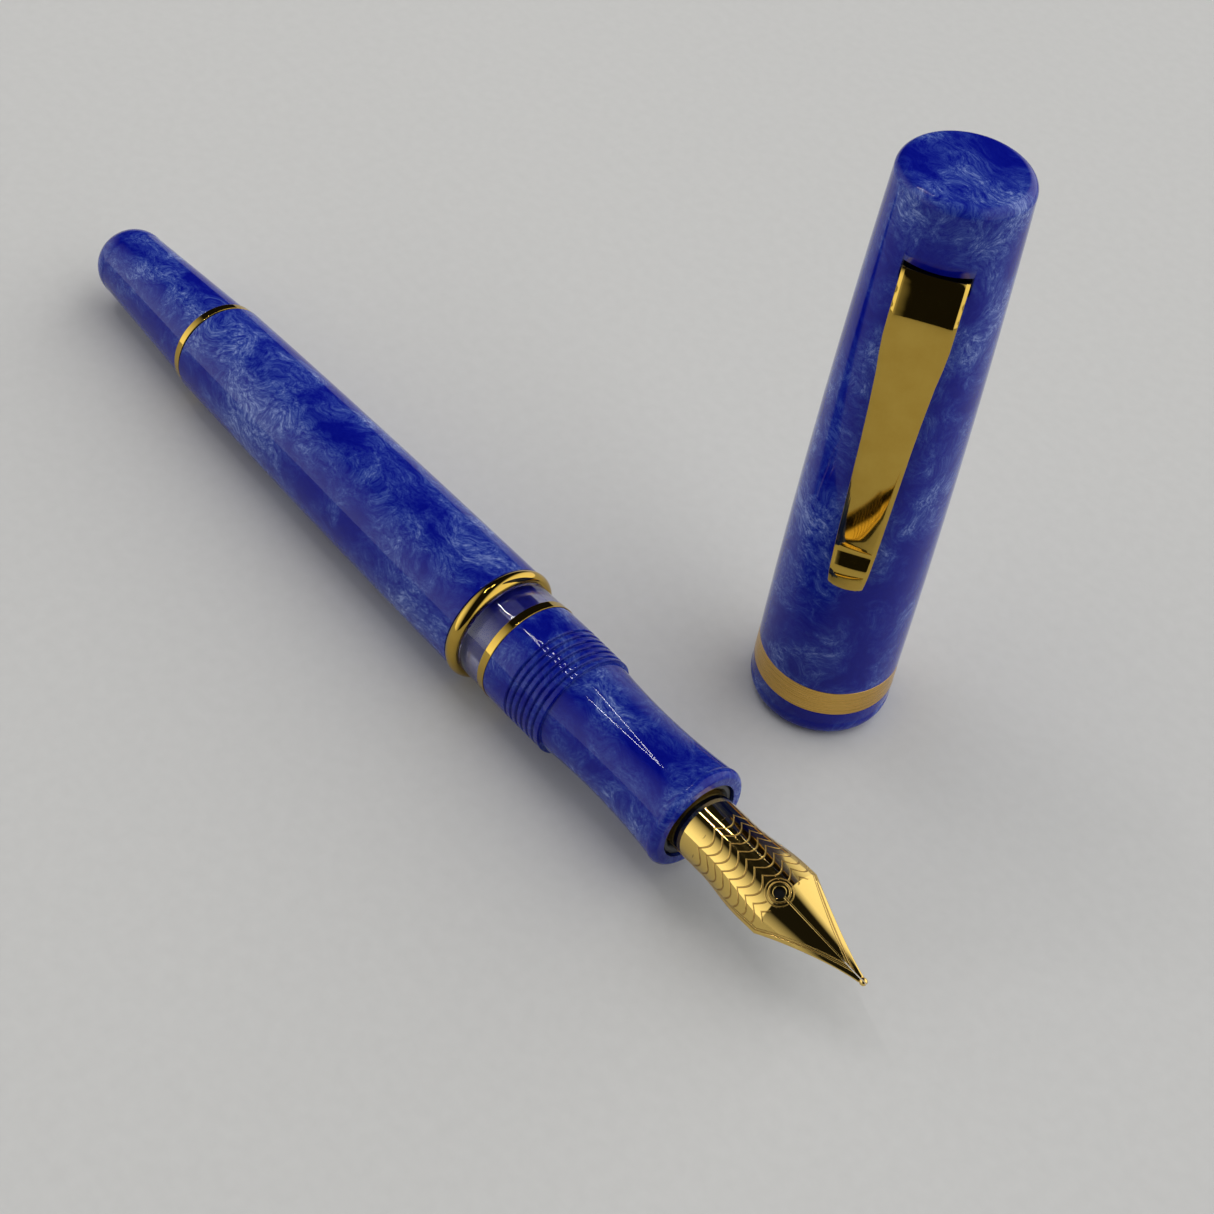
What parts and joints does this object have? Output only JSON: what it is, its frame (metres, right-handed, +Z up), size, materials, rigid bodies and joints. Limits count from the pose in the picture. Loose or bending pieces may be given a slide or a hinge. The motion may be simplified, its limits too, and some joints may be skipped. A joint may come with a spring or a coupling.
{
  "type": "fountain pen",
  "caption": "Piston-filling fountain pen in blue marbled acrylic with gold trim, lying uncapped beside its upright cap with a sprung clip.",
  "frame": {"origin": "on the resting surface, under the centre of the box round the pen and its cap", "axes": "+X along the pen towards the nib, +Y from the pen towards the cap, +Z up"},
  "size_m": [0.1292, 0.0416, 0.0666],
  "materials": {
    "blue_marbled_acrylic": "turned and polished, pearlescent blue marbling",
    "polished_gold_plate": "mirror polished",
    "satin_gold_plate": "satin, brushed round",
    "nib_gold": "polished with fine engraving",
    "tipping_alloy": "ground and polished",
    "clear_acrylic": "clear, polished",
    "black_moulded_plastic": "moulded, slight sheen",
    "machined_brass": "turned",
    "grey_acetal": "moulded",
    "seal_rubber": "moulded"
  },
  "bodies": {
    "pen": {"barrel": "blue_marbled_acrylic", "barrel_front_ring": "polished_gold_plate", "ink_window": "clear_acrylic", "window_front_ring": "polished_gold_plate", "section": "blue_marbled_acrylic", "section_seal": "seal_rubber", "nib_collar": "black_moulded_plastic", "nib": "nib_gold", "nib_tipping": "tipping_alloy", "feed": "black_moulded_plastic", "guide_sleeve": "machined_brass", "sleeve_gasket": "seal_rubber"},
    "knob_carrier": {"knob_ring": "polished_gold_plate"},
    "knob": {"knob": "blue_marbled_acrylic", "drive_nut": "machined_brass"},
    "piston": {"piston_rod": "grey_acetal", "piston_seal": "seal_rubber"},
    "cap": {"cap_tube": "blue_marbled_acrylic", "cap_band": "satin_gold_plate", "cap_lip": "blue_marbled_acrylic", "inner_cap": "black_moulded_plastic", "clip_bush": "machined_brass", "clip_seat": "machined_brass"},
    "clip": {"clip": "polished_gold_plate"}
  },
  "joints": [
    {"name": "knob_rise", "type": "slide", "parent": "pen", "child": "knob_carrier", "axis": [-0.9999, 0, -0.0169], "range_m": [0, 0.00321]},
    {"name": "knob_turn", "type": "hinge", "parent": "knob_carrier", "child": "knob", "pos_m": [-0.04303, -0.01399, 0.0059], "axis": [-0.9999, 0, -0.0169], "range_deg": [0, 1441]},
    {"name": "piston_travel", "type": "slide", "parent": "pen", "child": "piston", "axis": [0.9999, 0, 0.0169], "range_m": [0, 0.02]},
    {"name": "cap_lift", "type": "slide", "parent": "pen", "child": "cap", "axis": [0, 0, 1], "range_m": [0, 0.08]},
    {"name": "clip_flex", "type": "hinge", "parent": "cap", "child": "clip", "pos_m": [0.03527, 0.0088, 0.0596], "axis": [-0.8434, -0.5373, 0], "range_deg": [0, 3], "stiffness_Nm_per_rad": 0.1}
  ],
  "couplings": [
    {"joint": "knob_turn", "follows": "piston_travel", "rad_per_m": 1256.6},
    {"joint": "knob_rise", "follows": "piston_travel", "ratio": 0.16}
  ]
}
